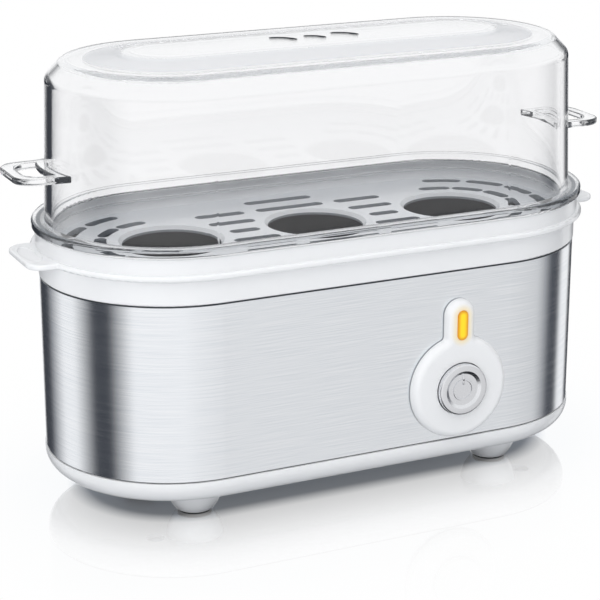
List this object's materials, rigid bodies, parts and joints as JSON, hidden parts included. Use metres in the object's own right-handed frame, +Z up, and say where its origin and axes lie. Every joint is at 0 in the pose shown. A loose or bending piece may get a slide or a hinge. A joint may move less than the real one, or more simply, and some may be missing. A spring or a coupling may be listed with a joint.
{
  "type": "electric egg cooker",
  "caption": "Oval electric egg cooker with a clear vented lid, a lift-out egg tray, a brushed steel body with a round power button and lamp, and a heated water pan inside.",
  "frame": {"origin": "on the table, under the middle of the cooker's bounding box", "axes": "+X along the cooker's length to the control panel's side, -Y out of the front face with the button, +Z up"},
  "size_m": [0.2182, 0.0996, 0.1506],
  "materials": {
    "clear_plastic": "clear, polished",
    "white_plastic": "white, glossy",
    "brushed_steel": "brushed along its length",
    "plated_plastic": "satin silver plating",
    "amber_plastic": "amber, clear",
    "cast_aluminium": "cast, satin",
    "cap_aluminium": "pressed",
    "silicone": "matte",
    "foot_rubber": "matte",
    "gland_rubber": "matte",
    "zinc_steel": "zinc plated",
    "spring_steel": "drawn wire",
    "element_steel": "heat dulled",
    "brass": "bare",
    "black_resin": "moulded",
    "fuse_metal": "plated",
    "glass_fibre": "woven",
    "lamp_glass": "clear",
    "grey_nylon": "moulded",
    "connector_nylon": "moulded",
    "brown_wire": "insulation",
    "blue_wire": "insulation",
    "green_wire": "insulation"
  },
  "bodies": {
    "base": {"base_cover": "white_plastic", "base_screws": "zinc_steel", "control_panel": "white_plastic", "cord_gland": "gland_rubber", "earth_tag": "brass", "earth_wire": "green_wire", "element_terminals": "brass", "element_wire": "brown_wire", "foot_front_left": "white_plastic", "foot_front_right": "white_plastic", "foot_pad_front_left": "foot_rubber", "foot_pad_front_right": "foot_rubber", "foot_pad_rear_left": "foot_rubber", "foot_pad_rear_right": "foot_rubber", "foot_rear_left": "white_plastic", "foot_rear_right": "white_plastic", "fuse_clip": "zinc_steel", "fuse_crimps": "brass", "fuse_sleeve": "glass_fibre", "fuse_wire": "brown_wire", "heating_element": "element_steel", "heating_plate": "cast_aluminium", "housing": "white_plastic", "indicator_lamp": "lamp_glass", "indicator_lens": "amber_plastic", "lamp_wires": "blue_wire", "live_wire": "brown_wire", "neutral_wire": "blue_wire", "panel_screws": "zinc_steel", "plate_brackets": "zinc_steel", "plate_nuts": "zinc_steel", "plate_screws": "zinc_steel", "plate_seal": "silicone", "plate_washer": "zinc_steel", "steel_shell": "brushed_steel", "switch_body": "black_resin", "switch_carrier": "grey_nylon", "switch_nut": "zinc_steel", "switch_spring": "spring_steel", "switch_terminals": "brass", "switch_wire": "brown_wire", "terminal_block": "grey_nylon", "terminal_screws": "brass", "thermal_fuse": "fuse_metal", "thermostat_body": "black_resin", "thermostat_cap": "cap_aluminium", "thermostat_terminals": "brass", "wire_connectors": "connector_nylon"},
    "tray": {"egg_tray": "white_plastic"},
    "lid": {"lid_dome": "clear_plastic"},
    "button": {"power_button": "plated_plastic", "switch_plunger": "grey_nylon"}
  },
  "joints": [
    {"name": "tray_lift", "type": "slide", "parent": "base", "child": "tray", "axis": [0, 0, 1], "range_m": [0, 0.1]},
    {"name": "lid_lift", "type": "slide", "parent": "tray", "child": "lid", "axis": [0, 0, 1], "range_m": [0, 0.12]},
    {"name": "button_push", "type": "slide", "parent": "base", "child": "button", "axis": [0, 1, 0], "range_m": [0, 0.002], "stiffness_N_per_m": 800, "deforming": ["switch_spring"]}
  ]
}
